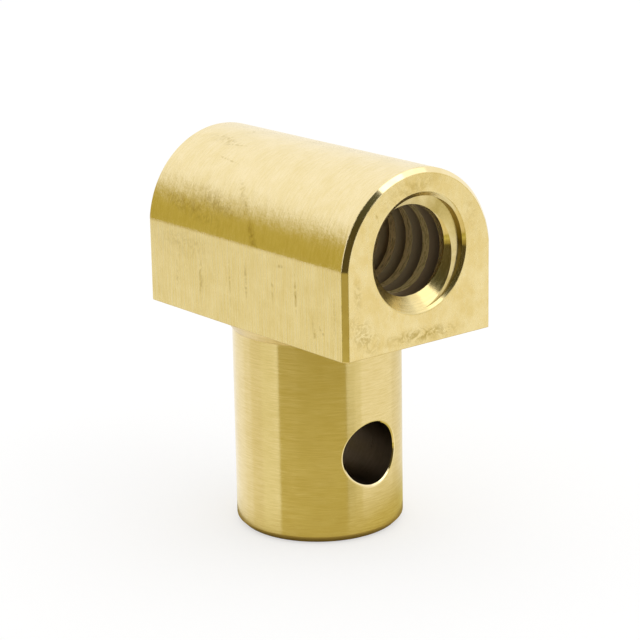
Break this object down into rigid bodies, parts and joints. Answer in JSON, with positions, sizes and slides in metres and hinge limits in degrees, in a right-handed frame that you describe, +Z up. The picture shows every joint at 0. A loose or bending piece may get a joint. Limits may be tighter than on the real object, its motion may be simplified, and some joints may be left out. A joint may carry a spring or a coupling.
{
  "type": "lead screw nut",
  "caption": "Brass lead screw nut with a half-round head, a left-hand trapezoidal thread through it, and a round stem with a cross hole.",
  "frame": {"origin": "middle of the stem's end face, which the nut stands on", "axes": "+Z up the stem towards the head, Y along the thread and the cross hole, X across the head's width"},
  "size_m": [0.0306, 0.051, 0.0632],
  "materials": {
    "machined_brass": "satin, milled head and turned stem"
  },
  "bodies": {
    "root": {"lead_screw_nut": "machined_brass"}
  },
  "joints": []
}
